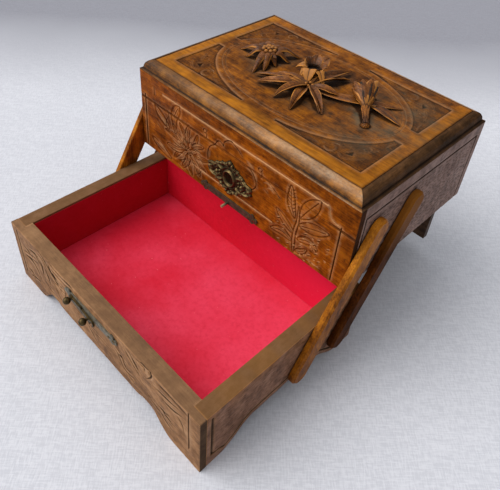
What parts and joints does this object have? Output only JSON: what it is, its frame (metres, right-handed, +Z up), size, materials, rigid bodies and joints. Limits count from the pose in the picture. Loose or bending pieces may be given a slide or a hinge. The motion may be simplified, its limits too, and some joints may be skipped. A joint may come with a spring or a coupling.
{
  "type": "carved jewelry box",
  "caption": "Carved wooden jewelry box: a lined tray on bracket feet and a lidded upper box that swings up and back on four wooden links, with brass lock and hook.",
  "frame": {"origin": "on the table under the middle of the whole object's bounding box, as it stands half open", "axes": "+X to the right as seen from the front, +Y from the front towards the back, +Z up; the tray's feet stand on Z = 0"},
  "size_m": [0.211, 0.2652, 0.1564],
  "materials": {
    "tray_wood": "waxed",
    "floor_wood": "plain",
    "box_wood": "varnished",
    "side_wood": "carved and punched",
    "back_wood": "waxed",
    "carved_wood": "varnished",
    "red_lining": "velvet",
    "old_brass": "aged",
    "lock_brass": "worn"
  },
  "bodies": {
    "tray": {"tray_front": "tray_wood", "tray_back": "tray_wood", "tray_left": "tray_wood", "tray_right": "tray_wood", "tray_bottom": "floor_wood", "tray_lining_floor": "red_lining", "tray_lining_front": "red_lining", "tray_lining_back": "red_lining", "tray_lining_left": "red_lining", "tray_lining_right": "red_lining", "tray_catch_plate": "old_brass", "catch_post": "old_brass", "lower_pivot_pins": "lock_brass"},
    "hook": {"catch_hook": "old_brass"},
    "front_links": {"link_front_left": "box_wood", "link_front_right": "box_wood"},
    "rear_links": {"link_rear_left": "box_wood", "link_rear_right": "box_wood"},
    "upper_box": {"box_front": "box_wood", "box_back": "back_wood", "box_left": "side_wood", "box_right": "side_wood", "box_bottom": "floor_wood", "box_long_feet": "back_wood", "box_lining_floor": "red_lining", "box_lining_front": "red_lining", "box_lining_back": "red_lining", "box_lining_left": "red_lining", "box_lining_right": "red_lining", "upper_pivot_pins": "lock_brass", "box_catch_plate": "old_brass", "escutcheon": "old_brass", "lock_case": "lock_brass", "hinge_leaves_lower": "lock_brass", "hinge_pins": "lock_brass"},
    "lock_bolt_body": {"lock_bolt": "lock_brass"},
    "lid": {"lid_front": "box_wood", "lid_back": "back_wood", "lid_left": "side_wood", "lid_right": "side_wood", "lid_strike": "lock_brass", "lid_panel": "box_wood", "lid_lining": "red_lining", "moulding_front": "box_wood", "moulding_back": "back_wood", "moulding_left": "side_wood", "moulding_right": "side_wood", "hinge_leaves_upper": "lock_brass", "carved_edelweiss": "carved_wood", "carved_rosette": "carved_wood", "carved_gentian": "carved_wood", "carved_bud": "carved_wood", "carved_sprig": "carved_wood"}
  },
  "joints": [
    {"name": "front_links_swing", "type": "hinge", "parent": "tray", "child": "front_links", "pos_m": [0, -0.04231, 0.0265], "axis": [1, 0, 0], "range_deg": [-14.8, 76.4]},
    {"name": "rear_links_swing", "type": "hinge", "parent": "tray", "child": "rear_links", "pos_m": [0, -0.00431, 0.0265], "axis": [1, 0, 0], "range_deg": [-14.8, 76.4]},
    {"name": "upper_box_swing", "type": "hinge", "parent": "front_links", "child": "upper_box", "pos_m": [0, 0.00541, 0.10655], "axis": [1, 0, 0], "range_deg": [-76.4, 14.8]},
    {"name": "lid_hinge", "type": "hinge", "parent": "upper_box", "child": "lid", "pos_m": [0, 0.13111, 0.11316], "axis": [-1, 0, 0], "range_deg": [0, 95]},
    {"name": "hook_turn", "type": "hinge", "parent": "tray", "child": "hook", "pos_m": [-0.0215, -0.12641, 0.046], "axis": [0, -1, 0], "range_deg": [-75, 55]},
    {"name": "bolt_slide", "type": "slide", "parent": "upper_box", "child": "lock_bolt_body", "axis": [0, 0, 1], "range_m": [0, 0.003]}
  ],
  "couplings": [
    {"joint": "rear_links_swing", "follows": "front_links_swing", "ratio": 1},
    {"joint": "upper_box_swing", "follows": "front_links_swing", "ratio": -1}
  ]
}
